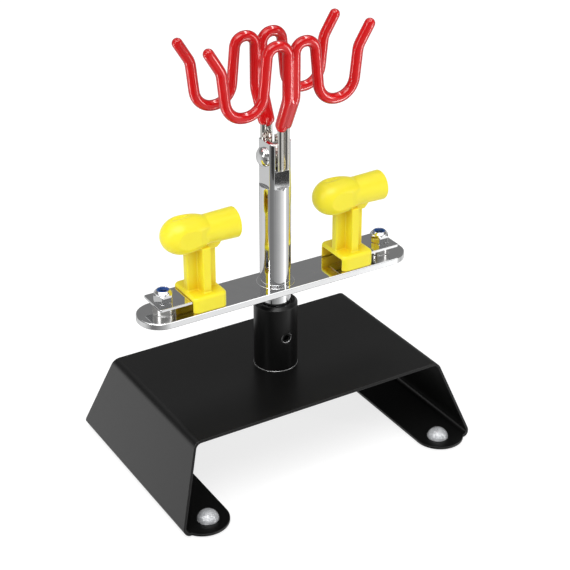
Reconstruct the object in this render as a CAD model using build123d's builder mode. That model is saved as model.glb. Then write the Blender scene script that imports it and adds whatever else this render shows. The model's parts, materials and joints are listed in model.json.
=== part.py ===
# Table-top airbrush stand: a bent steel foot carries a black socket, and a chromed column turns in it.
# The column carries a cross bar with two yellow nozzle holders and, in a fork at its top,
# a rocking head with four dipped wire hooks.
#
# Millimetres, +Z up.  The origin is on the table, on the column axis.
# +X runs along the cross bar to the right, -Y is the front.
import os
from math import pi, radians, sin, sqrt, tan

from build123d import *

os.makedirs("parts", exist_ok=True)

# ---------------------------------------------------------------- driving dimensions
# bent steel foot
SHEET = 1.2  # sheet thickness
PLATE_LENGTH = 127.0  # top plate, fold to fold, along X
PLATE_DEPTH = 79.8  # top plate, front to back
PLATE_TOP = 39.0  # height of the top plate's upper face
LEG_SPLAY = 13.15  # how far each leg leans outwards on its way down
FOOT_DEPTH = 102.4  # front to back where the legs reach the flanges
PLATE_FOLD_RADIUS = 4.2  # outer radius of the two upper folds
FLANGE_FOLD_RADIUS = 3.0  # and of the two lower ones
FLANGE_END_RADIUS = 11.7  # round ends of the inward flanges
FLANGE_END_X = 62.8
FLANGE_END_Y = 44.0

# clear press-in feet
FOOT_X = 61.2
FOOT_Y = 45.5
FOOT_PAD_RADIUS = 8.0
FOOT_PAD = 1.0  # pad thickness, and so the height of the flanges above the table
FOOT_STEM_RADIUS = 2.2
FOOT_CAP_RADIUS = 5.0
FOOT_CAP = 4.4
PAD_CHAMFER = 0.4

# socket and its locking screw
SOCKET_RADIUS = 10.0
SOCKET_HEIGHT = 32.5
SOCKET_FLOOR = 4.0
SOCKET_CHAMFER = 1.2
SOCKET_FOOT_CHAMFER = 0.4
BORE_CHAMFER = 0.6
RUNNING_GAP = 0.08  # radial clearance of the turning column
SCREW_HEIGHT = 16.8  # locking screw above the plate
SCREW_RADIUS = 2.5
SCREW_BODY = 2.2  # length of the threaded part
SCREW_TIP_RADIUS = 1.5
SCREW_TIP_GAP = 0.15  # between the tip and the floor of the groove
SCREW_SIDE_GAP = 0.03
HEX_RADIUS = 1.45  # hexagonal recess, over its corners
HEX_FLOOR = 0.8  # solid length of the body below the recess

# chromed column with its fork
COLUMN_RADIUS = 7.0
COLUMN_CHAMFER = 0.8
GROOVE_RADIUS = 6.1  # retaining groove that the locking screw drops into
GROOVE_WIDTH = 4.0
FORK_SHOULDER = 128.4
FORK_FLOOR = 136.3
FORK_TOP = 149.2
FORK_SIDE_FLATS = 10.9  # across the two flats that face left and right
FORK_FACE_FLATS = 11.8  # across the two flats that face front and back
FORK_SLOT = 6.2
FORK_CORNER = 3.0
PIVOT_Z = 142.0

# cross bar, swivel tabs and their M5 fastenings
BAR_LENGTH = 136.5
BAR_WIDTH = 21.0
BAR_BOTTOM = 78.0
BAR_THICKNESS = 3.0
EDGE_CHAMFER = 0.3  # broken edges of the bar and of the spacers
BOLT_X = 56.0
BOLT_RADIUS = 2.5
BOLT_HEAD_RADIUS = 4.5
BOLT_HEAD = 3.0
BOLT_HEAD_EDGE = 1.2  # straight edge of the head below its dome
THREAD_CHAMFER = 0.4  # at the tips of the bolts
RECESS_LENGTH = 4.2  # cross recess of the bar bolts' heads
RECESS_WIDTH = 1.0
RECESS_DEPTH = 1.5
SPACER_RADIUS = 4.8
SPACER_HEIGHT = 4.5
TAB_THICKNESS = 1.2
TAB_WIDTH = 16.2
TAB_OUTER_END = 61.4
TAB_INNER_END = 33.0
TAB_HOLE_RADIUS = 2.6
TAB_CORNER = 0.8
PLAY = 0.05  # free play below the column, and above and below each tab
NUT_FLATS = 8.0
NUT_HEX_HEIGHT = 3.7
NUT_HEIGHT = 5.0
NUT_CORNER_RADIUS = 4.5
NUT_CONE = 0.5  # width of the coned ends of the hexagon
NUT_SEAT_CONE = 0.3
COLLAR_RADIUS = 3.75
COLLAR_CURL = 0.9  # height over which the collar's top curls in over the ring
COLLAR_MOUTH = 2.85
RING_RADIUS = 2.65
RING_BORE = 2.1
RING_POCKET = 1.4  # depth of the ring's pocket
RING_SETBACK = 0.1  # ring below the nut's top
BOLT_SETBACK = 0.2  # bolt tip below the ring

# yellow moulded nozzle holders
HOLDER_X = 38.0
BLOCK_LENGTH = 16.8
BLOCK_DEPTH = 20.4
BLOCK_BOTTOM = 81.2
BLOCK_TOP = 88.5
BLOCK_CORNER = 3.0
BLOCK_EDGE = 1.4
TUNNEL_DEPTH = 16.4
TUNNEL_GAP = 0.1
RIB_REACH = 7.0
RIB_THICKNESS = 3.8
CROSS_RIB_TOP = 109.8  # the ribs to the front and rear end below the head
HEAD_AXIS = 115.2  # height of the head's own axis
COWL_NOSE = -17.8  # these six run along the head's axis, from the post
COWL_CENTRE = -8.0
COWL_SHOULDER = -2.2  # where the flat sides start to draw in
COWL_RIM = 3.0
CHIN_REACH = 8.8
MOUTH_X = 17.6
COWL_RADIUS = 8.4
COWL_HALF_WIDTH = 7.3  # over the flat sides
RIM_RADIUS = 6.4
RIM_HALF_WIDTH = 5.6
THROAT_RADIUS = 6.5
MOUTH_RADIUS = 6.9
MOUTH_BORE = 5.3
MOUTH_DEPTH = 13.0
CHIN_BOTTOM = 107.0
CHIN_WIDTH = 7.0

# wire hook head
WIRE_RADIUS = 1.4
DIP_RADIUS = 2.35
HUB_RADIUS = 5.5
HUB_LENGTH = 5.9
HUB_BORE = 2.06
FORK_BOLT_RADIUS = 2.0
FORK_BOLT_HEAD_RADIUS = 4.4
FORK_BOLT_HEAD = 3.2
FORK_BOLT_EDGE = 0.8
FORK_BOLT_END = 6.7
FRONT_LIFT = 1.6  # the front pair stands this much higher, the rear pair this much lower
FRONT_WAIST_LIFT = 2.6  # its waist also sits higher than the rear pair's
WIRE_FOOT = (1.45, 7.2, 137.4)  # corner points of one hook wire, at the right and rear
WIRE_WAIST = (1.45, 7.2, 155.6)  # here the wire bends outwards and the dip begins
STEM_BASE = (1.7, 13.4, 170.0)
STEM_TOP = (1.7, 13.4, 193.7)
LOOP_TOP = (11.1, 13.4, 193.7)
CRADLE_IN = (13.9, 13.4, 166.1)
CRADLE_OUT = (30.3, 13.4, 166.1)
FLARE = (32.6, 13.4, 187.0)
TIP = (37.8, 13.4, 195.4)
WAIST_RADIUS = 6.0
STEM_RADIUS = 8.0
LOOP_RADIUS = 4.6
CRADLE_RADIUS = 8.8
FLARE_RADIUS = 8.0
BEND_RADII = [
    WAIST_RADIUS,
    STEM_RADIUS,
    LOOP_RADIUS,
    LOOP_RADIUS,
    CRADLE_RADIUS,
    CRADLE_RADIUS,
    FLARE_RADIUS,
]
TIP_COVER = 0.6  # dip beyond the end of the wire, before its round end
WEB_TOP = 187.0
WEB_WIDTH = 3.4
WEB_THICKNESS = 4.3
WEB_CORNER = 0.8

# ---------------------------------------------------------------- derived values
FLANGE_BOTTOM = FOOT_PAD
FLANGE_TOP = FLANGE_BOTTOM + SHEET
FOLD_X = PLATE_LENGTH / 2 + LEG_SPLAY
FLANGE_EDGE_X = FLANGE_END_X - FLANGE_END_RADIUS
SOCKET_TOP = PLATE_TOP + SOCKET_HEIGHT
BORE_RADIUS = COLUMN_RADIUS + RUNNING_GAP
BORE_FLOOR = PLATE_TOP + SOCKET_FLOOR
COLUMN_BOTTOM = BORE_FLOOR + PLAY
SCREW_Z = PLATE_TOP + SCREW_HEIGHT
BAR_TOP = BAR_BOTTOM + BAR_THICKNESS
TAB_BOTTOM = BAR_TOP + SPACER_HEIGHT + PLAY
TAB_TOP = TAB_BOTTOM + TAB_THICKNESS
NUT_BOTTOM = TAB_TOP + PLAY
NUT_TOP = NUT_BOTTOM + NUT_HEIGHT
RING_BOTTOM = NUT_TOP - RING_POCKET
BOLT_TIP = RING_BOTTOM - BOLT_SETBACK
BOLT_SPOTS = [(-BOLT_X, 0), (BOLT_X, 0)]
SIDES = {"left": -1, "right": 1}
OVERCUT = 1.0  # how far a cut runs past the surface it opens


# ---------------------------------------------------------------- shared helpers
def add_rounded_path(corners, radii):
    """Draw straight runs through the corner points, with an arc of the given radius at each bend."""
    corners = [Vector(*corner) for corner in corners]
    start = corners[0]
    for before, corner, after, radius in zip(corners, corners[1:], corners[2:], radii):
        to_before = (before - corner).normalized()
        to_after = (after - corner).normalized()
        half_angle = radians(to_before.get_angle(to_after) / 2)
        setback = radius / tan(half_angle)
        arc_start = corner + to_before * setback
        arc_end = corner + to_after * setback
        inward = (to_before + to_after).normalized()
        arc_middle = corner + inward * (radius / sin(half_angle) - radius)
        Line(start, arc_start)
        ThreePointArc(arc_start, arc_middle, arc_end)
        start = arc_end
    Line(start, corners[-1])


def dome_height(rim_radius, crown_height):
    """Height of a spherical dome half-way between its axis and its rim."""
    sphere_radius = (rim_radius**2 + crown_height**2) / (2 * crown_height)
    return crown_height - sphere_radius + sqrt(sphere_radius**2 - (rim_radius / 2) ** 2)


def save(part, label):
    """Label a finished sub-part and write it out."""
    part.label = label
    export_step(part, f"parts/{label}.step")


# ---------------------------------------------------------------- bent steel foot
LEG_OUTLINE = [
    (-FOOT_DEPTH / 2, FLANGE_BOTTOM),
    (-PLATE_DEPTH / 2, PLATE_TOP),
    (PLATE_DEPTH / 2, PLATE_TOP),
    (FOOT_DEPTH / 2, FLANGE_BOTTOM),
]
ROUND_END_X = FLANGE_END_X + sqrt(FLANGE_END_RADIUS**2 - (FOOT_DEPTH / 2 - FLANGE_END_Y) ** 2)
FLANGE_CORNERS = [
    (side * (FLANGE_EDGE_X + ROUND_END_X) / 2, end * (FLANGE_END_Y + FOOT_DEPTH / 4))
    for side in (-1, 1)
    for end in (-1, 1)
]
FLANGE_ENDS = [(x, y) for x in (-FLANGE_END_X, FLANGE_END_X) for y in (-FLANGE_END_Y, FLANGE_END_Y)]
FOOT_SPOTS = [(x, y) for x in (-FOOT_X, FOOT_X) for y in (-FOOT_Y, FOOT_Y)]

SHEET_CORNERS = [
    (-FLANGE_EDGE_X, FLANGE_BOTTOM),
    (-FOLD_X, FLANGE_BOTTOM),
    (-PLATE_LENGTH / 2, PLATE_TOP),
    (PLATE_LENGTH / 2, PLATE_TOP),
    (FOLD_X, FLANGE_BOTTOM),
    (FLANGE_EDGE_X, FLANGE_BOTTOM),
]
FOLD_RADII = [FLANGE_FOLD_RADIUS, PLATE_FOLD_RADIUS, PLATE_FOLD_RADIUS, FLANGE_FOLD_RADIUS]

with BuildPart() as base_frame:
    # one strip of sheet, folded four times, seen from the front
    with BuildSketch(Plane.XZ):
        with BuildLine():
            add_rounded_path(SHEET_CORNERS, FOLD_RADII)
            offset(amount=SHEET, side=Side.RIGHT)
        make_face()
    extrude(amount=FOOT_DEPTH, both=True)
    # the legs widen towards the table
    with BuildSketch(Plane.YZ):
        Polygon(*LEG_OUTLINE, align=None)
    extrude(amount=FOLD_X + SHEET, both=True, mode=Mode.INTERSECT)
    # square flange ends give way to round ones
    with BuildSketch(Plane.XY.offset(FLANGE_BOTTOM)):
        with Locations(*FLANGE_CORNERS):
            Rectangle(ROUND_END_X - FLANGE_EDGE_X, FOOT_DEPTH / 2)
    extrude(amount=SHEET, mode=Mode.SUBTRACT)
    with BuildSketch(Plane.XY.offset(FLANGE_BOTTOM)):
        with Locations(*FLANGE_ENDS):
            Circle(FLANGE_END_RADIUS)
        with Locations(*[(-side * FOLD_X, 0) for side in SIDES.values()]):
            Rectangle(2 * (FOLD_X - ROUND_END_X), 2 * FOOT_DEPTH, mode=Mode.SUBTRACT)
    extrude(amount=SHEET)
    with BuildSketch(Plane.XY.offset(FLANGE_BOTTOM)):
        with Locations(*FOOT_SPOTS):
            Circle(FOOT_STEM_RADIUS)
    extrude(amount=SHEET, mode=Mode.SUBTRACT)
save(base_frame.part, "base_frame")

with BuildPart() as feet:
    for x, y in FOOT_SPOTS:
        with BuildSketch(Plane.XZ.offset(-y)):
            with BuildLine():
                Polyline(
                    (x, 0),
                    (x + FOOT_PAD_RADIUS - PAD_CHAMFER, 0),
                    (x + FOOT_PAD_RADIUS, PAD_CHAMFER),
                    (x + FOOT_PAD_RADIUS, FLANGE_BOTTOM),
                    (x + FOOT_STEM_RADIUS, FLANGE_BOTTOM),
                    (x + FOOT_STEM_RADIUS, FLANGE_TOP),
                    (x + FOOT_CAP_RADIUS, FLANGE_TOP),
                )
                ThreePointArc(
                    (x + FOOT_CAP_RADIUS, FLANGE_TOP),
                    (x + FOOT_CAP_RADIUS / 2, FLANGE_TOP + dome_height(FOOT_CAP_RADIUS, FOOT_CAP)),
                    (x, FLANGE_TOP + FOOT_CAP),
                )
                Line((x, FLANGE_TOP + FOOT_CAP), (x, 0))
            make_face()
        revolve(axis=Axis((x, y, 0), (0, 0, 1)))
save(feet.part, "feet")

# ---------------------------------------------------------------- socket and locking screw
with BuildPart() as socket:
    with BuildSketch(Plane.XY.offset(PLATE_TOP)):
        Circle(SOCKET_RADIUS)
    extrude(amount=SOCKET_HEIGHT)
    top_rim = socket.edges().sort_by(Axis.Z)[-1]
    foot_rim = socket.edges().sort_by(Axis.Z)[0]
    chamfer(top_rim, SOCKET_CHAMFER)
    chamfer(foot_rim, SOCKET_FOOT_CHAMFER)
    with BuildSketch(Plane.XY.offset(BORE_FLOOR)):
        Circle(BORE_RADIUS)
    extrude(amount=SOCKET_HEIGHT, mode=Mode.SUBTRACT)
    bore_rim = socket.edges().filter_by(GeomType.CIRCLE).group_by(Axis.Z)[-1].sort_by(SortBy.RADIUS)[0]
    chamfer(bore_rim, BORE_CHAMFER)
    # tapped hole, facing the front
    with BuildSketch(Plane.XZ):
        with Locations((0, SCREW_Z)):
            Circle(SCREW_RADIUS)
    extrude(amount=SOCKET_RADIUS + OVERCUT, mode=Mode.SUBTRACT)
save(socket.part, "socket")

with BuildPart() as locking_screw:
    with BuildSketch(Plane.XZ.offset(BORE_RADIUS)):
        with Locations((0, SCREW_Z)):
            Circle(SCREW_RADIUS - SCREW_SIDE_GAP)
    extrude(amount=SCREW_BODY)
    with BuildSketch(Plane.XZ.offset(GROOVE_RADIUS + SCREW_TIP_GAP)):
        with Locations((0, SCREW_Z)):
            Circle(SCREW_TIP_RADIUS)
    extrude(amount=BORE_RADIUS - GROOVE_RADIUS)
    with BuildSketch(Plane.XZ.offset(BORE_RADIUS + HEX_FLOOR)):
        with Locations((0, SCREW_Z)):
            RegularPolygon(HEX_RADIUS, 6)
    extrude(amount=SCREW_BODY, mode=Mode.SUBTRACT)
save(locking_screw.part, "locking_screw")

# ---------------------------------------------------------------- chromed column
with BuildPart() as column:
    with BuildSketch(Plane.XY.offset(COLUMN_BOTTOM)):
        Circle(COLUMN_RADIUS)
    extrude(amount=FORK_TOP - COLUMN_BOTTOM)
    chamfer(column.edges().sort_by(Axis.Z)[0], COLUMN_CHAMFER)
    # groove for the locking screw
    with BuildSketch(Plane.XY.offset(SCREW_Z - GROOVE_WIDTH / 2)):
        Circle(COLUMN_RADIUS + OVERCUT)
        Circle(GROOVE_RADIUS, mode=Mode.SUBTRACT)
    extrude(amount=GROOVE_WIDTH, mode=Mode.SUBTRACT)
    # four flats above the shoulder
    with BuildSketch(Plane.XY.offset(FORK_SHOULDER)):
        Circle(COLUMN_RADIUS + OVERCUT)
        Rectangle(FORK_SIDE_FLATS, FORK_FACE_FLATS, mode=Mode.SUBTRACT)
    extrude(amount=FORK_TOP - FORK_SHOULDER, mode=Mode.SUBTRACT)
    # slot from front to back
    with BuildSketch(Plane.XZ):
        with Locations((0, FORK_TOP)):
            Rectangle(FORK_SLOT, 2 * (FORK_TOP - FORK_FLOOR))
    extrude(amount=COLUMN_RADIUS + OVERCUT, both=True, mode=Mode.SUBTRACT)
    # the tops of the two ears are rounded, seen from the side
    with BuildSketch(Plane.YZ):
        with Locations((0, (FORK_TOP + COLUMN_BOTTOM) / 2 - FORK_CORNER)):
            RectangleRounded(2 * COLUMN_RADIUS, FORK_TOP - COLUMN_BOTTOM + 2 * FORK_CORNER, FORK_CORNER)
    extrude(amount=COLUMN_RADIUS, both=True, mode=Mode.INTERSECT)
    # pivot hole: clear in the left ear, tapped in the right one
    with BuildSketch(Plane.YZ):
        with Locations((0, PIVOT_Z)):
            Circle(FORK_BOLT_RADIUS)
    extrude(amount=COLUMN_RADIUS, both=True, mode=Mode.SUBTRACT)
save(column.part, "column")

# ---------------------------------------------------------------- cross bar
with BuildPart() as cross_bar:
    with BuildSketch(Plane.XY.offset(BAR_BOTTOM)):
        SlotOverall(BAR_LENGTH, BAR_WIDTH)
        Circle(COLUMN_RADIUS, mode=Mode.SUBTRACT)
        with Locations(*BOLT_SPOTS):
            Circle(BOLT_RADIUS, mode=Mode.SUBTRACT)
    extrude(amount=BAR_THICKNESS)
    # the outline's edges are the ones longer than any hole's rim
    hole_rim = 2 * pi * COLUMN_RADIUS
    outer_rims = cross_bar.faces().filter_by(Axis.Z).edges().filter_by(lambda edge: edge.length > BAR_WIDTH)
    outer_rims = outer_rims.filter_by(lambda edge: abs(edge.length - hole_rim) > EDGE_CHAMFER)
    chamfer(outer_rims, EDGE_CHAMFER)
save(cross_bar.part, "cross_bar")

BOLT_CROWN = BAR_BOTTOM - BOLT_HEAD
BOLT_EDGE = BAR_BOTTOM - BOLT_HEAD_EDGE
BOLT_DOME = BOLT_EDGE - dome_height(BOLT_HEAD_RADIUS, BOLT_HEAD - BOLT_HEAD_EDGE)
with BuildPart() as bar_bolts:
    for x, y in BOLT_SPOTS:
        with BuildSketch(Plane.XZ):
            with BuildLine():
                Polyline(
                    (x, BOLT_CROWN),
                    (x, BOLT_TIP),
                    (x + BOLT_RADIUS - THREAD_CHAMFER, BOLT_TIP),
                    (x + BOLT_RADIUS, BOLT_TIP - THREAD_CHAMFER),
                    (x + BOLT_RADIUS, BAR_BOTTOM),
                    (x + BOLT_HEAD_RADIUS, BAR_BOTTOM),
                    (x + BOLT_HEAD_RADIUS, BOLT_EDGE),
                )
                ThreePointArc(
                    (x + BOLT_HEAD_RADIUS, BOLT_EDGE),
                    (x + BOLT_HEAD_RADIUS / 2, BOLT_DOME),
                    (x, BOLT_CROWN),
                )
            make_face()
        revolve(axis=Axis((x, y, 0), (0, 0, 1)))
    # cross recess
    with BuildSketch(Plane.XY.offset(BOLT_CROWN)):
        with Locations(*BOLT_SPOTS):
            Rectangle(RECESS_LENGTH, RECESS_WIDTH)
            Rectangle(RECESS_WIDTH, RECESS_LENGTH)
    extrude(amount=RECESS_DEPTH, mode=Mode.SUBTRACT)
save(bar_bolts.part, "bar_bolts")

with BuildPart() as bar_spacers:
    with BuildSketch(Plane.XY.offset(BAR_TOP)):
        with Locations(*BOLT_SPOTS):
            Circle(SPACER_RADIUS)
            Circle(BOLT_RADIUS, mode=Mode.SUBTRACT)
    extrude(amount=SPACER_HEIGHT)
    spacer_rims = bar_spacers.edges().filter_by(lambda edge: edge.length > 2 * pi * BOLT_RADIUS + PLAY)
    chamfer(spacer_rims, EDGE_CHAMFER)
save(bar_spacers.part, "bar_spacers")


def build_tab(side):
    """Swivel tab: a short flat strip, held near its outer end."""
    with BuildPart() as tab:
        with BuildSketch(Plane.XY.offset(TAB_BOTTOM)):
            with Locations((side * (TAB_OUTER_END + TAB_INNER_END) / 2, 0)):
                RectangleRounded(TAB_OUTER_END - TAB_INNER_END, TAB_WIDTH, TAB_CORNER)
            with Locations((side * BOLT_X, 0)):
                Circle(TAB_HOLE_RADIUS, mode=Mode.SUBTRACT)
        extrude(amount=TAB_THICKNESS)
    return tab.part


for name, side in SIDES.items():
    save(build_tab(side), f"tab_{name}")

with BuildPart() as nyloc_nuts:
    for x, y in BOLT_SPOTS:
        # turned blank: coned hexagon ends and a collar with a rounded top
        with BuildSketch(Plane.XZ):
            with BuildLine():
                Polyline(
                    (x, NUT_BOTTOM),
                    (x + NUT_CORNER_RADIUS - NUT_CONE, NUT_BOTTOM),
                    (x + NUT_CORNER_RADIUS, NUT_BOTTOM + NUT_SEAT_CONE),
                    (x + NUT_CORNER_RADIUS, NUT_BOTTOM + NUT_HEX_HEIGHT - NUT_CONE),
                    (x + COLLAR_RADIUS, NUT_BOTTOM + NUT_HEX_HEIGHT),
                    (x + COLLAR_RADIUS, NUT_TOP - COLLAR_CURL),
                    (x + COLLAR_MOUTH, NUT_TOP),
                    (x, NUT_TOP),
                    close=True,
                )
            make_face()
        revolve(axis=Axis((x, y, 0), (0, 0, 1)))
    # spanner flats, thread and the pocket for the nylon ring
    with BuildSketch(Plane.XY.offset(NUT_BOTTOM)):
        with Locations(*BOLT_SPOTS):
            Circle(NUT_CORNER_RADIUS + OVERCUT)
            RegularPolygon(NUT_FLATS / 2, 6, major_radius=False, mode=Mode.SUBTRACT)
    extrude(amount=NUT_HEIGHT, mode=Mode.SUBTRACT)
    with BuildSketch(Plane.XY.offset(NUT_BOTTOM)):
        with Locations(*BOLT_SPOTS):
            Circle(BOLT_RADIUS)
    extrude(amount=NUT_HEIGHT, mode=Mode.SUBTRACT)
    with BuildSketch(Plane.XY.offset(RING_BOTTOM)):
        with Locations(*BOLT_SPOTS):
            Circle(RING_RADIUS)
    extrude(amount=RING_POCKET, mode=Mode.SUBTRACT)
save(nyloc_nuts.part, "nyloc_nuts")

with BuildPart() as nylon_rings:
    with BuildSketch(Plane.XY.offset(RING_BOTTOM)):
        with Locations(*BOLT_SPOTS):
            Circle(RING_RADIUS)
            Circle(RING_BORE, mode=Mode.SUBTRACT)
    extrude(amount=RING_POCKET - RING_SETBACK)
save(nylon_rings.part, "nylon_rings")


# ---------------------------------------------------------------- yellow nozzle holders
def build_cowl(centre_x):
    """Rear of a holder's head: a turned nose with flat sides that draw in towards the throat."""
    with BuildPart() as cowl:
        with BuildSketch(Plane.XZ):
            with BuildLine():
                EllipticalCenterArc(
                    center=(centre_x + COWL_CENTRE, HEAD_AXIS),
                    x_radius=COWL_CENTRE - COWL_NOSE,
                    y_radius=COWL_RADIUS,
                    start_angle=90,
                    arc_size=90,
                )
                Spline(
                    (centre_x + COWL_CENTRE, HEAD_AXIS + COWL_RADIUS),
                    (centre_x + COWL_RIM, HEAD_AXIS + RIM_RADIUS),
                    tangents=[(1, 0), (1, -0.5)],
                )
                Polyline(
                    (centre_x + COWL_RIM, HEAD_AXIS + RIM_RADIUS),
                    (centre_x + COWL_RIM, HEAD_AXIS),
                    (centre_x + COWL_NOSE, HEAD_AXIS),
                )
            make_face()
        revolve(axis=Axis((0, 0, HEAD_AXIS), (1, 0, 0)))
        # outline from above
        with BuildSketch(Plane.XY.offset(HEAD_AXIS)):
            Polygon(
                (centre_x + COWL_NOSE, -COWL_HALF_WIDTH),
                (centre_x + COWL_SHOULDER, -COWL_HALF_WIDTH),
                (centre_x + COWL_RIM, -RIM_HALF_WIDTH),
                (centre_x + COWL_RIM, RIM_HALF_WIDTH),
                (centre_x + COWL_SHOULDER, COWL_HALF_WIDTH),
                (centre_x + COWL_NOSE, COWL_HALF_WIDTH),
                align=None,
            )
        extrude(amount=COWL_RADIUS, both=True, mode=Mode.INTERSECT)
    return cowl.part


def build_holder(centre_x):
    """Bridge foot over the tab, ribbed post, and a head like a hair dryer that opens to the right."""
    cowl = build_cowl(centre_x)
    with BuildPart() as holder:
        # foot
        with BuildSketch(Plane.XY.offset(BLOCK_BOTTOM)):
            with Locations((centre_x, 0)):
                RectangleRounded(BLOCK_LENGTH, BLOCK_DEPTH, BLOCK_CORNER)
        extrude(amount=BLOCK_TOP - BLOCK_BOTTOM)
        fillet(holder.faces().sort_by(Axis.Z)[-1].edges(), BLOCK_EDGE)
        # tunnel for the tab, open below
        with BuildSketch(Plane.YZ.offset(centre_x)):
            with Locations((0, (BLOCK_BOTTOM + TAB_TOP + TUNNEL_GAP) / 2)):
                Rectangle(TUNNEL_DEPTH, TAB_TOP + TUNNEL_GAP - BLOCK_BOTTOM)
        extrude(amount=BLOCK_LENGTH, both=True, mode=Mode.SUBTRACT)
        # ribbed post
        with BuildSketch(Plane.XY.offset(BLOCK_TOP - BLOCK_EDGE)):
            with Locations((centre_x, 0)):
                Rectangle(2 * RIB_REACH, RIB_THICKNESS)
        extrude(amount=HEAD_AXIS - BLOCK_TOP)
        with BuildSketch(Plane.XY.offset(CROSS_RIB_TOP)):
            with Locations((centre_x, 0)):
                Rectangle(RIB_THICKNESS, 2 * RIB_REACH)
        extrude(amount=BLOCK_TOP - BLOCK_EDGE - CROSS_RIB_TOP)
        # chin between the post and the throat
        with BuildSketch(Plane.XZ):
            Polygon(
                (centre_x, CHIN_BOTTOM),
                (centre_x + RIB_REACH, CHIN_BOTTOM),
                (centre_x + CHIN_REACH, HEAD_AXIS - THROAT_RADIUS),
                (centre_x + CHIN_REACH, HEAD_AXIS),
                (centre_x, HEAD_AXIS),
                align=None,
            )
        extrude(amount=CHIN_WIDTH / 2, both=True)
        # head: cowl, then the flared throat
        add(cowl)
        with BuildSketch(Plane.XZ):
            Polygon(
                (centre_x, HEAD_AXIS),
                (centre_x, HEAD_AXIS + THROAT_RADIUS),
                (centre_x + COWL_RIM, HEAD_AXIS + THROAT_RADIUS),
                (centre_x + MOUTH_X, HEAD_AXIS + MOUTH_RADIUS),
                (centre_x + MOUTH_X, HEAD_AXIS),
                align=None,
            )
        revolve(axis=Axis((0, 0, HEAD_AXIS), (1, 0, 0)))
        # blind bore in the mouth
        with BuildSketch(Plane.YZ.offset(centre_x + MOUTH_X)):
            with Locations((0, HEAD_AXIS)):
                Circle(MOUTH_BORE)
        extrude(amount=-MOUTH_DEPTH, mode=Mode.SUBTRACT)
    return holder.part


for name, side in SIDES.items():
    save(build_holder(side * HOLDER_X), f"holder_{name}")

# ---------------------------------------------------------------- rocking head
HEAD_SEAT = -FORK_SIDE_FLATS / 2
HEAD_CROWN = HEAD_SEAT - FORK_BOLT_HEAD
HEAD_EDGE = HEAD_SEAT - FORK_BOLT_EDGE
HEAD_DOME = HEAD_EDGE - dome_height(FORK_BOLT_HEAD_RADIUS, FORK_BOLT_HEAD - FORK_BOLT_EDGE)
with BuildPart() as fork_bolt:
    with BuildSketch(Plane.XZ):
        with BuildLine():
            Polyline(
                (HEAD_CROWN, PIVOT_Z),
                (FORK_BOLT_END, PIVOT_Z),
                (FORK_BOLT_END, PIVOT_Z + FORK_BOLT_RADIUS - THREAD_CHAMFER),
                (FORK_BOLT_END - THREAD_CHAMFER, PIVOT_Z + FORK_BOLT_RADIUS),
                (HEAD_SEAT, PIVOT_Z + FORK_BOLT_RADIUS),
                (HEAD_SEAT, PIVOT_Z + FORK_BOLT_HEAD_RADIUS),
                (HEAD_EDGE, PIVOT_Z + FORK_BOLT_HEAD_RADIUS),
            )
            ThreePointArc(
                (HEAD_EDGE, PIVOT_Z + FORK_BOLT_HEAD_RADIUS),
                (HEAD_DOME, PIVOT_Z + FORK_BOLT_HEAD_RADIUS / 2),
                (HEAD_CROWN, PIVOT_Z),
            )
        make_face()
    revolve(axis=Axis((0, 0, PIVOT_Z), (1, 0, 0)))
save(fork_bolt.part, "fork_bolt")


def wire_corners(side, end, lift):
    """Corner points of one hook wire.  side is -1 or 1 along X, end is -1 or 1 along Y."""
    lifted = (STEM_BASE, STEM_TOP, LOOP_TOP, CRADLE_IN, CRADLE_OUT, FLARE, TIP)
    waist_lift = FRONT_WAIST_LIFT if lift > 0 else 0
    corners = [Vector(*WIRE_FOOT), Vector(*WIRE_WAIST) + Vector(0, 0, waist_lift)]
    corners += [Vector(*corner) + Vector(0, 0, lift) for corner in lifted]
    return [Vector(corner.X * side, corner.Y * end, corner.Z) for corner in corners]


def swept_rod(corners, radii, radius):
    """A round rod that follows the corner points."""
    with BuildPart() as rod:
        with BuildLine() as bends:
            add_rounded_path(corners, radii)
        path = bends.wires()[0]
        with BuildSketch(Plane(origin=path @ 0, z_dir=path % 0)):
            Circle(radius)
        sweep(path=path)
    return rod.part


def build_wire(side, end, lift):
    """One hook wire: up from the pivot, over a narrow loop, down into a cradle and out at the tip."""
    return swept_rod(wire_corners(side, end, lift), BEND_RADII, WIRE_RADIUS)


def build_dip(end, lift, wires):
    """Soft coating that joins the two wires of one pair and hides their tips."""
    with BuildPart() as dip:
        for side in SIDES.values():
            corners = wire_corners(side, end, lift)
            tip = corners[-1] + (corners[-1] - corners[-2]).normalized() * TIP_COVER
            add(swept_rod(corners[1:-1] + [tip], BEND_RADII[1:], DIP_RADIUS))
            with Locations(corners[1], tip):
                Sphere(DIP_RADIUS)
        # web between the two stems
        waist = Vector(0, corners[1].Y, corners[1].Z)
        base = Vector(0, corners[2].Y, corners[2].Z)
        top = Vector(0, corners[2].Y, WEB_TOP + lift)
        with BuildLine() as spine:
            add_rounded_path([waist, base, top], [STEM_RADIUS])
        path = spine.wires()[0]
        with BuildSketch(Plane(origin=path @ 0, x_dir=(1, 0, 0), z_dir=path % 0)):
            RectangleRounded(WEB_WIDTH, WEB_THICKNESS, WEB_CORNER)
        sweep(path=path)
        for wire in wires:
            add(wire, mode=Mode.SUBTRACT)
    return dip.part


wires = {}
for end_name, end, lift in (("front", -1, FRONT_LIFT), ("rear", 1, -FRONT_LIFT)):
    for side_name, side in SIDES.items():
        wires[end_name, side_name] = build_wire(side, end, lift)
        save(wires[end_name, side_name], f"wire_{end_name}_{side_name}")
    pair = [wires[end_name, side_name] for side_name in SIDES]
    save(build_dip(end, lift, pair), f"dip_{end_name}")

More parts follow.
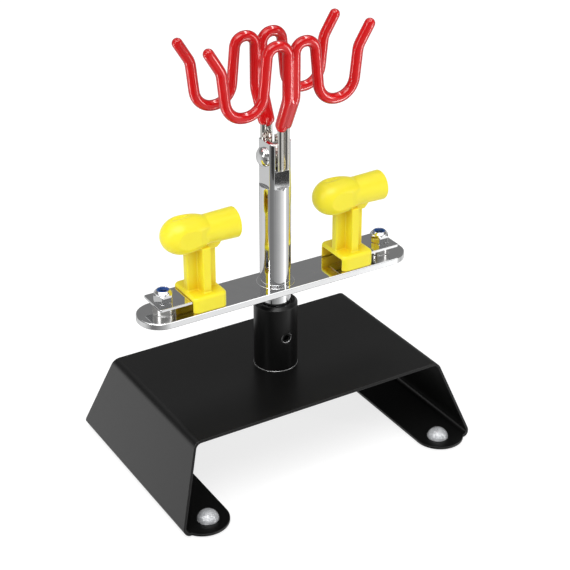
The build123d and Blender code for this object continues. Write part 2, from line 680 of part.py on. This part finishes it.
with BuildPart() as pivot_hub:
    with BuildSketch(Plane.YZ):
        with Locations((0, PIVOT_Z)):
            Circle(HUB_RADIUS)
            Circle(HUB_BORE, mode=Mode.SUBTRACT)
    extrude(amount=HUB_LENGTH / 2, both=True)
    # the wires are brazed into grooves in its front and rear
    for wire in wires.values():
        add(wire, mode=Mode.SUBTRACT)
save(pivot_hub.part, "pivot_hub")
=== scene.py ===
import json
from math import cos, pi, radians

import bmesh
import bpy
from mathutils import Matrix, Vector


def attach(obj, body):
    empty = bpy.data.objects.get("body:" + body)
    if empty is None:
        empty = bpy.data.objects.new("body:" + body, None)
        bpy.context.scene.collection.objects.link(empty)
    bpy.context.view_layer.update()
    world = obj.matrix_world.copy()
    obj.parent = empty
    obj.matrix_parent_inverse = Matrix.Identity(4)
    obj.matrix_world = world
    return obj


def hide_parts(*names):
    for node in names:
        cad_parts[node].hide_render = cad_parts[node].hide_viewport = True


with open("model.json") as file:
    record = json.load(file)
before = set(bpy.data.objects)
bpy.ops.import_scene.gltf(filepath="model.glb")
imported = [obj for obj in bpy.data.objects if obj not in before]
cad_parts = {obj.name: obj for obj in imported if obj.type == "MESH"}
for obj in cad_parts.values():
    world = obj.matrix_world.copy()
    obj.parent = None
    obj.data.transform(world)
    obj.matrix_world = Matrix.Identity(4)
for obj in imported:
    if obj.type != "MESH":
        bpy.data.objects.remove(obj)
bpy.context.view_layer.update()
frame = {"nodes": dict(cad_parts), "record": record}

MM = 0.001
RECORD = frame["record"]
BODY_OF = {node: body for body, nodes in RECORD["behaviour"]["bodies"].items() for node in nodes}
SLOT_OF = {part["node"]: part["material_slot"] for part in RECORD["subparts"]}

# edge radii of the finished pieces
SHEET_EDGE = 0.28 * MM
BAR_EDGE = 0.6 * MM
MACHINED_EDGE = 0.12 * MM
TAB_EDGE = 0.2 * MM

# mesh work
WELD_DISTANCE = 0.002 * MM
FLAT_ANGLE = radians(0.4)  # faces that meet at less than this are one face
HARD_ANGLE = radians(28)  # edges that bend more than this are rounded
EDGE_STEPS = 3
BAND = 0.9 * MM  # height of the bands that long walls are cut into
HOLDER_VOXEL = 0.28 * MM
HOLDER_RELAX = 6
DIP_VOXEL = 0.3 * MM
DIP_RELAX = 8

# sockets of the colour mixing node, which has no names for them
COLOUR_A = 6
COLOUR_B = 7
COLOUR_OUT = 2

# brightness of the light tent, as (place, value) stops: CEILING from straight down to straight up,
# SIDES once round from the left (-X) over the front (-Y), the right (+X) and the back (+Y)
CEILING = [
    (0.0, 1.2),  # white floor
    (0.40, 0.95),
    (0.55, 0.85),  # walls, up to a little above the horizontal
    (0.64, 0.24),  # grey ceiling
    (0.83, 0.18),
    (0.88, 1.5),  # ring of the roof light
    (0.95, 1.5),
    (0.975, 0.3),
    (1.0, 0.2),
]
SIDES = [
    (0.0, 0.50),
    (0.06, 0.19),  # dark side, where the camera stands
    (0.11, 0.20),
    (0.17, 0.31),
    (0.24, 0.46),
    (0.29, 0.70),
    (0.345, 0.96),
    (0.36, 1.6),  # soft box, front right
    (0.39, 1.6),
    (0.405, 0.8),
    (0.47, 0.50),
    (0.58, 0.80),
    (0.63, 0.15),  # dark panel, back right
    (0.70, 0.15),
    (0.76, 0.62),  # even wall, back left
    (0.79, 0.64),
    (0.81, 0.64),
    (0.825, 0.6),
    (0.85, 0.66),
    (0.89, 0.72),
    (0.96, 0.66),
    (1.0, 0.50),
]
AMBIENT = 0.62
FLOOR_GLOW = 0.76  # keeps the paper white where the light falls off


# ---------------------------------------------------------------- material helpers
class Builder:
    """Adds nodes to a node tree and wires them up."""

    def __init__(self, tree):
        self.tree = tree

    def node(self, kind, sources=None, **settings):
        """A new node.  sources maps an input's name or number to a value or to another node's output."""
        made = self.tree.nodes.new("ShaderNode" + kind)
        for name, value in settings.items():
            setattr(made, name, value)
        for key, source in (sources or {}).items():
            self.feed(made.inputs[key], source)
        return made

    def feed(self, socket, source):
        if isinstance(source, bpy.types.NodeSocket):
            self.tree.links.new(source, socket)
        else:
            socket.default_value = source

    def between(self, share, low, high, start=0.3, end=0.7):
        """Maps share from start..end onto low..high, clamped."""
        sources = {"Value": share, "From Min": start, "From Max": end, "To Min": low, "To Max": high}
        return self.node("MapRange", sources).outputs["Result"]

    def mix(self, share, first, second, blend="MIX"):
        """Blends two colours."""
        mixer = self.node("Mix", data_type="RGBA", blend_type=blend)
        self.feed(mixer.inputs["Factor"], share)
        self.feed(mixer.inputs[COLOUR_A], first)
        self.feed(mixer.inputs[COLOUR_B], second)
        return mixer.outputs[COLOUR_OUT]

    def math(self, operation, first, second=0.0):
        return self.node("Math", {0: first, 1: second}, operation=operation).outputs[0]

    def ramp(self, share, stops):
        """Grey ramp through the given (place, value) stops."""
        made = self.node("ValToRGB", {"Fac": share})
        band = made.color_ramp
        while len(band.elements) < len(stops):
            band.elements.new(1.0)
        for element, (place, value) in zip(band.elements, stops):
            element.position = place
            element.color = grey(value)
        return made.outputs["Color"]


class Shader(Builder):
    """A material under construction, with its principled surface."""

    def __init__(self, name):
        self.material = bpy.data.materials.new(name)
        self.material.use_nodes = True
        super().__init__(self.material.node_tree)
        self.surface = self.tree.nodes["Principled BSDF"]
        self.place = self.node("TexCoord").outputs["Object"]

    def set(self, **sources):
        """Feeds the principled surface; underscores in the names stand for spaces."""
        for name, source in sources.items():
            self.feed(self.surface.inputs[name.replace("_", " ")], source)

    def noise(self, size, detail=3.0, stretch=(1, 1, 1)):
        """Soft random pattern with features of about the given size in metres, between 0 and 1."""
        place = self.node("Mapping", {"Vector": self.place, "Scale": stretch}).outputs[0]
        return self.node("TexNoise", {"Vector": place, "Scale": 1 / size, "Detail": detail}).outputs["Fac"]

    def bump(self, height, depth, strength=1.0, under=None):
        """Surface normal roughened by height, up to depth metres deep."""
        made = self.node("Bump", {"Height": height, "Distance": depth, "Strength": strength})
        if under is not None:
            self.feed(made.inputs["Normal"], under)
        return made.outputs["Normal"]

    def edges(self, radius):
        """1 on edges sharper than the radius in metres, 0 elsewhere."""
        rounded = self.node("Bevel", {"Radius": radius}).outputs["Normal"]
        flat = self.node("NewGeometry").outputs["Normal"]
        likeness = self.node("VectorMath", {0: rounded, 1: flat}, operation="DOT_PRODUCT").outputs["Value"]
        return self.between(likeness, 1.0, 0.0, 0.9, 0.995)

    def facing(self, blend=0.5):
        """0 where the surface faces the camera, 1 at its outline."""
        return self.node("LayerWeight", {"Blend": blend}).outputs["Facing"]

    def crevices(self, reach):
        """1 in hollows and corners within reach metres, 0 on open surface."""
        openness = self.node("AmbientOcclusion", {"Distance": reach}).outputs["AO"]
        return self.between(openness, 1.0, 0.0, 0.25, 0.9)


def grey(value):
    return (value, value, value, 1)


# ---------------------------------------------------------------- materials
def powder_coat():
    """Satin black powder coat: orange peel, and lighter edges, partly real wear where the coat has worn
    down, partly a painted highlight along the edges.
    """
    coat = Shader("powder_coat_black")
    # lighter edges at random strength: partly wear of the coat, partly a painted highlight
    edge_wear_and_highlight = coat.math("MULTIPLY", coat.edges(0.5 * MM), coat.between(coat.noise(4 * MM), 0.35, 0.8))
    tone = coat.mix(coat.noise(12 * MM, 2), grey(0.003), grey(0.004))
    coat.set(Base_Color=coat.mix(edge_wear_and_highlight, tone, grey(0.045)))
    coat.set(Roughness=coat.between(coat.noise(2.0 * MM), 0.29, 0.31), Specular_IOR_Level=0.3)
    peel = coat.bump(coat.noise(0.7 * MM, 2), 0.003 * MM)
    coat.set(Normal=coat.bump(coat.noise(0.16 * MM, 2), 0.001 * MM, under=peel))
    return coat.material


def chrome():
    """Bright nickel-chrome plate: near mirror, with hairline polishing marks and a few dull spots."""
    plate = Shader("chrome_plate")
    haze = plate.noise(5 * MM, 5)
    plate.set(Metallic=1.0, Base_Color=plate.mix(haze, (0.80, 0.81, 0.82, 1), (0.88, 0.88, 0.88, 1)))
    plate.set(Roughness=plate.between(haze, 0.035, 0.085))
    lines = plate.bump(plate.noise(0.12 * MM, 2, (0.06, 1, 1)), 0.0006 * MM)
    plate.set(Normal=plate.bump(plate.noise(6 * MM, 2), 0.01 * MM, under=lines))
    return plate.material


def wire_steel():
    """Drawn steel wire under a thin bright plate: lines along its length and faint straw-coloured tint."""
    steel = Shader("wire_steel")
    streak = steel.noise(0.5 * MM, 3, (1, 1, 0.1))
    steel.set(Metallic=1.0, Base_Color=steel.mix(streak, (0.66, 0.64, 0.60, 1), (0.84, 0.82, 0.78, 1)))
    steel.set(Roughness=steel.between(streak, 0.07, 0.14))
    steel.set(Normal=steel.bump(streak, 0.001 * MM))
    return steel.material


def satin_nickel():
    """Tumbled nickel plate: soft sheen with a fine grain."""
    plate = Shader("satin_nickel")
    grain = plate.noise(0.25 * MM, 3)
    plate.set(Metallic=1.0, Base_Color=plate.mix(grain, (0.70, 0.69, 0.67, 1), (0.80, 0.79, 0.77, 1)))
    plate.set(Roughness=plate.between(grain, 0.26, 0.34))
    plate.set(Normal=plate.bump(grain, 0.002 * MM))
    return plate.material


def bright_steel():
    """Turned steel: fine tool marks and a little oil haze."""
    steel = Shader("bright_steel")
    marks = steel.noise(0.3 * MM, 3)
    steel.set(Metallic=1.0, Base_Color=steel.mix(marks, grey(0.45), grey(0.62)))
    steel.set(Roughness=steel.between(marks, 0.18, 0.3))
    steel.set(Normal=steel.bump(marks, 0.003 * MM))
    return steel.material


def blue_nylon():
    """Dark blue nylon, slightly see-through, turned face."""
    nylon = Shader("blue_nylon")
    cloud = nylon.noise(0.8 * MM)
    nylon.set(Base_Color=nylon.mix(cloud, (0.012, 0.05, 0.24, 1), (0.03, 0.11, 0.36, 1)))
    nylon.set(Roughness=nylon.between(cloud, 0.25, 0.4), Subsurface_Weight=0.3, Subsurface_Scale=0.6 * MM)
    nylon.set(Normal=nylon.bump(nylon.noise(0.2 * MM), 0.01 * MM))
    return nylon.material


def yellow_plastic():
    """Injection-moulded polythene: waxy, a little see-through, with flow clouds and a fine matt grain."""
    moulding = Shader("yellow_polythene")
    flow = moulding.noise(7 * MM, 3)
    skin = moulding.mix(flow, (0.81, 0.70, 0.015, 1), (0.86, 0.77, 0.025, 1))
    # painted light: the yellow turns paler towards its outline, as if lit through its edges
    outline = moulding.between(moulding.facing(), 0.0, 0.6, 0.55, 1.0)
    outline_glow = moulding.mix(outline, skin, (0.92, 0.90, 0.24, 1))
    shaded = moulding.mix(moulding.crevices(9 * MM), outline_glow, (0.76, 0.50, 0.006, 1))
    moulding.set(Base_Color=shaded)
    moulding.set(Roughness=moulding.between(moulding.noise(2 * MM), 0.32, 0.42))
    moulding.set(Subsurface_Weight=0.35, Subsurface_Radius=(1.0, 0.75, 0.12), Subsurface_Scale=1.6 * MM)
    ripple = moulding.bump(moulding.noise(3.5 * MM, 2), 0.03 * MM)
    moulding.set(Normal=moulding.bump(moulding.noise(0.25 * MM, 2), 0.004 * MM, under=ripple))
    return moulding.material


def red_dip():
    """Dipped PVC: wet-looking gloss, red darkened towards its outline by painted shade, with slow ripples
    from dripping.
    """
    dip = Shader("red_dipped_pvc")
    skin = dip.mix(dip.noise(6 * MM, 3), (0.41, 0.002, 0.003, 1), (0.49, 0.003, 0.004, 1))
    # painted shade: the red darkens towards the outline
    outline = dip.between(dip.facing(), 0.0, 0.85, 0.3, 0.8)
    deep = dip.mix(outline, skin, (0.24, 0.0, 0.002, 1))
    dip.set(Base_Color=deep, Coat_Weight=0.25, Coat_Roughness=0.04)
    dip.set(Roughness=dip.between(dip.noise(1.5 * MM), 0.09, 0.16), Specular_IOR_Level=0.4)
    dip.set(Subsurface_Weight=0.1, Subsurface_Radius=(1.0, 0.1, 0.06), Subsurface_Scale=1.0 * MM)
    dip.set(Normal=dip.bump(dip.noise(3 * MM, 2), 0.05 * MM))
    return dip.material


def clear_rubber():
    """Clear soft vinyl: cloudy inside, with a wavy, glossy skin."""
    vinyl = Shader("clear_vinyl")
    cloud = vinyl.noise(1.6 * MM, 3)
    vinyl.set(Base_Color=vinyl.mix(cloud, (0.62, 0.64, 0.67, 1), (0.92, 0.93, 0.95, 1)))
    vinyl.set(Roughness=vinyl.between(cloud, 0.03, 0.08), IOR=1.5, Specular_IOR_Level=0.9)
    vinyl.set(Transmission_Weight=0.5, Coat_Weight=1.0, Coat_Roughness=0.03)
    vinyl.set(Normal=vinyl.bump(vinyl.noise(1.3 * MM, 2), 0.9 * MM))
    return vinyl.material


def blackened_steel():
    """Oil-blackened steel of the locking screw."""
    steel = Shader("blackened_steel")
    grain = steel.noise(0.3 * MM, 3)
    steel.set(Metallic=1.0, Base_Color=steel.mix(grain, grey(0.02), grey(0.045)))
    steel.set(Roughness=steel.between(grain, 0.25, 0.4))
    steel.set(Normal=steel.bump(grain, 0.003 * MM))
    return steel.material


def braze():
    """Brass-coloured braze metal, flowed and slightly dull."""
    metal = Shader("braze_metal")
    cloud = metal.noise(0.7 * MM, 3)
    metal.set(Metallic=1.0, Base_Color=metal.mix(cloud, (0.55, 0.44, 0.20, 1), (0.72, 0.62, 0.34, 1)))
    metal.set(Roughness=metal.between(cloud, 0.18, 0.32))
    metal.set(Normal=metal.bump(cloud, 0.03 * MM))
    return metal.material


MATERIALS = {
    "powder_coat": powder_coat(),
    "chrome": chrome(),
    "wire_steel": wire_steel(),
    "satin_nickel": satin_nickel(),
    "bright_steel": bright_steel(),
    "blue_nylon": blue_nylon(),
    "yellow_plastic": yellow_plastic(),
    "red_dip": red_dip(),
    "clear_rubber": clear_rubber(),
}


# ---------------------------------------------------------------- mesh helpers
def copy_node(node, name):
    """A new piece with a CAD node's shape, in its place, on its body and with its material."""
    source = frame["nodes"][node].data
    mesh = bpy.data.meshes.new(name)
    corners = [vertex.co for vertex in source.vertices]
    faces = [face.vertices[:] for face in source.polygons]
    mesh.from_pydata(corners, [], faces)
    piece = bpy.data.objects.new(name, mesh)
    bpy.context.scene.collection.objects.link(piece)
    mesh.materials.append(MATERIALS[SLOT_OF[node]])
    weld(piece)
    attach(piece, BODY_OF[node])
    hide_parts(node)
    return piece


def weld(piece):
    """Joins the vertices that share a place."""
    solid = bmesh.new()
    solid.from_mesh(piece.data)
    bmesh.ops.remove_doubles(solid, verts=solid.verts, dist=WELD_DISTANCE)
    bmesh.ops.recalc_face_normals(solid, faces=solid.faces)
    solid.to_mesh(piece.data)
    solid.free()


def smooth(piece):
    for face in piece.data.polygons:
        face.use_smooth = True


def slice_along(solid, direction, spacing):
    """Cuts the faces of a bmesh into bands, so that shading at an edge can't spread along a whole wall."""
    reach = [vertex.co.dot(direction) for vertex in solid.verts]
    cut = min(reach) + spacing
    while cut < max(reach):
        everything = solid.verts[:] + solid.edges[:] + solid.faces[:]
        bmesh.ops.bisect_plane(solid, geom=everything, plane_co=direction * cut, plane_no=direction)
        cut += spacing


def round_edges(piece, radius):
    """Merges the triangles of flat faces and gives every hard edge a small radius."""
    solid = bmesh.new()
    solid.from_mesh(piece.data)
    bmesh.ops.dissolve_limit(solid, angle_limit=FLAT_ANGLE, verts=solid.verts, edges=solid.edges)
    hard = [edge for edge in solid.edges if edge.is_manifold and edge.calc_face_angle() > HARD_ANGLE]
    bmesh.ops.bevel(
        solid,
        geom=hard,
        offset=radius,
        segments=EDGE_STEPS,
        profile=0.5,
        affect="EDGES",
        clamp_overlap=True,
    )
    slice_along(solid, Vector((0, 0, 1)), BAND)
    solid.to_mesh(piece.data)
    solid.free()
    smooth(piece)
    flatten = piece.modifiers.new("flat faces stay flat", "WEIGHTED_NORMAL")
    flatten.keep_sharp = False


def apply_modifiers(piece):
    """Turns the piece's modifiers into mesh."""
    view = bpy.context.evaluated_depsgraph_get()
    finished = bpy.data.meshes.new_from_object(piece.evaluated_get(view))
    piece.modifiers.clear()
    piece.data = finished


def remesh(piece, voxel, relax):
    """Rebuilds the skin as one even mesh and relaxes it, which fillets every edge a little."""
    voxels = piece.modifiers.new("voxels", "REMESH")
    voxels.mode = "VOXEL"
    voxels.voxel_size = voxel
    voxels.use_smooth_shade = True
    soften = piece.modifiers.new("soften", "SMOOTH")
    soften.factor = 0.5
    soften.iterations = relax
    apply_modifiers(piece)
    smooth(piece)


def dent(piece, centre, reach, depth):
    """Presses a smooth oval hollow down into a surface."""
    for vertex in piece.data.vertices:
        offset = [(place - middle) / half for place, middle, half in zip(vertex.co, centre, reach)]
        distance = Vector(offset).length
        if distance < 1:
            vertex.co.z -= depth * (0.5 + 0.5 * cos(pi * distance))


# ---------------------------------------------------------------- pieces
MACHINED = {
    "base_frame": ("foot_sheet", SHEET_EDGE),
    "socket": ("socket_tube", MACHINED_EDGE),
    "locking_screw": ("set_screw", MACHINED_EDGE),
    "column": ("column_rod", MACHINED_EDGE),
    "cross_bar": ("bar_plate", BAR_EDGE),
    "bar_bolts": ("bar_bolt_pair", MACHINED_EDGE),
    "bar_spacers": ("spacer_pair", MACHINED_EDGE),
    "tab_left": ("tab_strip_left", TAB_EDGE),
    "tab_right": ("tab_strip_right", TAB_EDGE),
    "nyloc_nuts": ("nut_pair", MACHINED_EDGE),
    "nylon_rings": ("nut_ring_pair", MACHINED_EDGE),
    "fork_bolt": ("pivot_bolt", MACHINED_EDGE),
    "pivot_hub": ("hub", MACHINED_EDGE),
    "wire_front_left": ("hook_wire_front_left", MACHINED_EDGE),
    "wire_front_right": ("hook_wire_front_right", MACHINED_EDGE),
    "wire_rear_left": ("hook_wire_rear_left", MACHINED_EDGE),
    "wire_rear_right": ("hook_wire_rear_right", MACHINED_EDGE),
    "feet": ("foot_bumpers", MACHINED_EDGE),
}
for node, (name, radius) in MACHINED.items():
    round_edges(copy_node(node, name), radius)
bpy.data.objects["set_screw"].data.materials[0] = blackened_steel()

# yellow holders, each with a thumb dent on top of its cowl
HOLDER_X = {"left": -38 * MM, "right": 38 * MM}
COWL_TOP = 123.6 * MM
DENT_BEHIND_POST = 8.5 * MM
DENT_OFF_CENTRE = 0.3 * MM
DENT_REACH = (5.5 * MM, 2.4 * MM, 3.0 * MM)
DENT_DEPTH = 1.1 * MM
for side, x in HOLDER_X.items():
    shell = copy_node(f"holder_{side}", f"holder_shell_{side}")
    remesh(shell, HOLDER_VOXEL, HOLDER_RELAX)
    dent(shell, (x - DENT_BEHIND_POST, DENT_OFF_CENTRE, COWL_TOP), DENT_REACH, DENT_DEPTH)

# red coating of the hook wires
for end in ("front", "rear"):
    coat = copy_node(f"dip_{end}", f"dip_coat_{end}")
    remesh(coat, DIP_VOXEL, DIP_RELAX)


# ---------------------------------------------------------------- small extra pieces
def extra(name, body, material):
    """Makes the object of the last mesh operator a named piece of a body."""
    piece = bpy.context.object
    piece.name = name
    piece.data.name = name
    piece.data.materials.append(material)
    smooth(piece)
    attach(piece, body)


def add_ring(name, body, material, place, tilt, radius, thickness):
    """Round ring, such as a pressed-up lip or a worn rim."""
    bpy.ops.mesh.primitive_torus_add(
        location=place,
        rotation=tilt,
        major_radius=radius,
        minor_radius=thickness,
        major_segments=96,
        minor_segments=16,
    )
    extra(name, body, material)


def add_drop(name, body, material, place, tilt, size):
    """Ellipsoid, such as a bead of braze metal or a frozen drip."""
    bpy.ops.mesh.primitive_uv_sphere_add(
        location=place,
        rotation=tilt,
        radius=1.0,
        segments=48,
        ring_count=24,
    )
    bpy.context.object.scale = size
    bpy.ops.object.transform_apply(location=False, rotation=False, scale=True)
    extra(name, body, material)


PLATE_TOP = 39.0 * MM
BAR_TOP = 81.0 * MM
SCREW_HEIGHT = 55.8 * MM
SOCKET_RADIUS = 10.0 * MM
CHROME = MATERIALS["chrome"]
STEEL = MATERIALS["bright_steel"]
DIP = MATERIALS["red_dip"]
BRAZE = braze()
LEVEL = (0, 0, 0)

# lip pushed up where the column is pressed into the bar
LIP_RADIUS = 8.5 * MM
LIP_THICKNESS = 0.16 * MM
lip = (0, 0, BAR_TOP)
add_ring("column_press_lip", "turning_column", CHROME, lip, LEVEL, LIP_RADIUS, LIP_THICKNESS)

# bare rim of the tapped hole in the socket
RIM_RADIUS = 2.4 * MM
RIM_THICKNESS = 0.2 * MM
RIM_DEPTH = 0.45 * MM
rim = (0, -SOCKET_RADIUS + RIM_DEPTH, SCREW_HEIGHT)
upright = (radians(90), 0, 0)
add_ring("socket_hole_rim", "foot", STEEL, rim, upright, RIM_RADIUS, RIM_THICKNESS)

# bead where the socket stands on the plate, in bright steel rather than the black coat, as a painted
# highlight line round the socket's foot
BEAD_RADIUS = SOCKET_RADIUS + 0.02 * MM
BEAD_THICKNESS = 0.15 * MM
bead = (0, 0, PLATE_TOP + 0.12 * MM)
add_ring("socket_foot_bead_highlight", "foot", STEEL, bead, LEVEL, BEAD_RADIUS, BEAD_THICKNESS)

# braze between the feet of each pair of wires
BRAZE_OUT = 6.9 * MM
BRAZE_HEIGHT = 141.5 * MM
BRAZE_LEAN = radians(7)
BRAZE_SIZE = (1.2 * MM, 1.25 * MM, 4.2 * MM)
for end, side in (("front", -1), ("rear", 1)):
    joint = (0, side * BRAZE_OUT, BRAZE_HEIGHT)
    lean = (side * BRAZE_LEAN, 0, 0)
    add_drop(f"braze_{end}", "hook_head", BRAZE, joint, lean, BRAZE_SIZE)

# last drips at the lower ends of the red coating
DRIPS = {
    "front": (-1.0 * MM, -7.35 * MM, 157.3 * MM),
    "rear": (0.6 * MM, 7.35 * MM, 154.8 * MM),
}
DRIP_SIZE = (2.5 * MM, 2.3 * MM, 2.4 * MM)
for end, spot in DRIPS.items():
    add_drop(f"drip_{end}", "hook_head", DIP, spot, LEVEL, DRIP_SIZE)


# ---------------------------------------------------------------- stage, light and camera
FLOOR_SIZE = 24


def add_floor():
    """White paper, wide enough to fill every view."""
    bpy.ops.mesh.primitive_grid_add(x_subdivisions=8, y_subdivisions=8, size=FLOOR_SIZE)
    floor = bpy.context.object
    floor.name = "floor"
    paper = Shader("white_paper")
    paper.set(Base_Color=grey(0.33), Roughness=0.9, Specular_IOR_Level=0.1)
    paper.set(Emission_Color=grey(1.0), Emission_Strength=FLOOR_GLOW)
    floor.data.materials.append(paper.material)
    floor.visible_glossy = False


def studio_sky():
    """White light tent.  Reflections alone see its grey ceiling, its roof light and the darker side
    where the camera stands; the camera sees plain white."""
    world = bpy.data.worlds.new("studio")
    world.use_nodes = True
    bpy.context.scene.world = world
    sky = Builder(world.node_tree)
    # the incoming vector points from the sky towards the scene
    ray = sky.node("SeparateXYZ", {0: sky.node("NewGeometry").outputs["Incoming"]})
    height = sky.math("MULTIPLY", ray.outputs["Z"], -1.0)
    ahead = sky.math("MULTIPLY", ray.outputs["Y"], -1.0)
    across = sky.math("MULTIPLY", ray.outputs["X"], -1.0)
    heading = sky.math("ARCTAN2", ahead, across)
    ceiling = sky.ramp(sky.between(height, 0.0, 1.0, -1.0, 1.0), CEILING)
    sides = sky.ramp(sky.between(heading, 0.0, 1.0, -pi, pi), SIDES)
    # the sides count only below the ceiling
    low = sky.between(height, 1.0, 0.0, 0.05, 0.25)
    walls = sky.mix(low, grey(1.0), sides)
    tent = sky.mix(1.0, ceiling, walls, "MULTIPLY")
    path = sky.node("LightPath")
    unseen = sky.mix(path.outputs["Is Glossy Ray"], grey(AMBIENT), tent)
    shown = sky.mix(path.outputs["Is Camera Ray"], unseen, grey(1.0))
    sky.feed(world.node_tree.nodes["Background"].inputs["Color"], shown)


def point_at(thing, place, target, axis="-Z"):
    """Puts a light or card at a place, with one of its axes towards a target."""
    thing.location = place
    thing.rotation_euler = (Vector(target) - Vector(place)).to_track_quat(axis, "Y").to_euler()


def add_flag(name, place, target, size):
    """Dark card that is seen in reflections alone, to darken what mirrors it."""
    bpy.ops.mesh.primitive_plane_add(size=1)
    card = bpy.context.object
    card.name = name
    card.scale = (*size, 1)
    point_at(card, place, target, "Z")
    card.visible_camera = False
    card.visible_diffuse = False
    card.visible_shadow = False
    cloth = Shader("black_cloth")
    cloth.set(Base_Color=cloth.mix(cloth.noise(16 * MM), grey(0.01), grey(0.09)))
    cloth.set(Roughness=0.9, Specular_IOR_Level=0.1)
    card.data.materials.append(cloth.material)


def add_lamp(name, lamp, place, target):
    """Hangs a light at a place, pointing at a target."""
    light = bpy.data.objects.new(name, lamp)
    point_at(light, place, target)
    bpy.context.scene.collection.objects.link(light)
    return light


def add_sun(name, place, strength, spread):
    """Even light over the whole floor, from the direction of the given place."""
    lamp = bpy.data.lights.new(name, "SUN")
    lamp.energy = strength
    lamp.angle = radians(spread)
    add_lamp(name, lamp, place, (0, 0, 0))


def add_strip(name, place, target, size, power, only=None):
    """Soft box, for the highlights on glossy pieces: on all of them, or on those of one collection."""
    lamp = bpy.data.lights.new(name, "AREA")
    lamp.shape = "RECTANGLE"
    lamp.size, lamp.size_y = size
    lamp.energy = power
    strip = add_lamp(name, lamp, place, target)
    strip.visible_camera = False
    if only is not None:
        strip.light_linking.receiver_collection = only
        strip.light_linking.blocker_collection = only


def gather(name, pieces):
    """A collection of the named pieces, for lights that shine on them alone."""
    group = bpy.data.collections.new(name)
    for piece in pieces:
        group.objects.link(bpy.data.objects[piece])
    return group


def add_camera():
    """Short telephoto from above and to the left."""
    lens = bpy.data.cameras.new("camera")
    lens.sensor_width = 36
    lens.lens = FOCAL_LENGTH
    lens.clip_start = 0.01
    lens.clip_end = 50
    camera = bpy.data.objects.new("camera", lens)
    camera.location = CAMERA_PLACE
    camera.rotation_euler = (radians(CAMERA_TILT), 0, radians(CAMERA_HEADING))
    bpy.context.scene.collection.objects.link(camera)
    bpy.context.scene.camera = camera


CAMERA_PLACE = (-0.29299, -0.49382, 0.38448)
CAMERA_TILT = 61.95
CAMERA_HEADING = -31.11
FOCAL_LENGTH = 91.43

# what the lights and cards point at
COLUMN = (0, 0, 0.12)
HOOKS = (0, 0, 0.18)
LEFT_LEG = (-0.065, 0, 0.02)
FORK = (0, -0.0065, 0.1335)

add_floor()
studio_sky()
add_sun("key", (-0.3, -0.4, 1.0), 1.5, 40)
add_strip("left_strip", (-0.75, -0.15, 0.55), COLUMN, (0.10, 0.6), 1.6)
add_strip("right_strip", (0.6, -0.55, 0.25), COLUMN, (0.10, 0.5), 0.9)

# long highlights on the red coating
coating = gather("red_coating", ["dip_coat_front", "dip_coat_rear", "drip_front", "drip_rear"])
add_strip("hook_strip_right", (0.30, -0.32, -0.055), HOOKS, (0.05, 0.5), 1.15, coating)
add_strip("hook_strip_left", (-0.427, 0.114, -0.055), HOOKS, (0.05, 0.5), 1.15, coating)
add_strip("hook_strip_top", (0.27, 0.0, 0.72), HOOKS, (0.6, 0.06), 2.0, coating)

# sheen on the left leg
foot = gather("foot_sheet_alone", ["foot_sheet"])
add_strip("leg_glow", (-0.576, 0.609, -0.064), LEFT_LEG, (0.5, 0.5), 0.62, foot)

# dark bands on the front of the fork
add_flag("right_flag", (0.0895, -0.1555, 0.0700), FORK, (0.05, 0.034))
add_flag("front_flag", (-0.1143, -0.1517, 0.0735), FORK, (0.12, 0.040))

add_camera()
bpy.context.scene.view_settings.view_transform = "Standard"
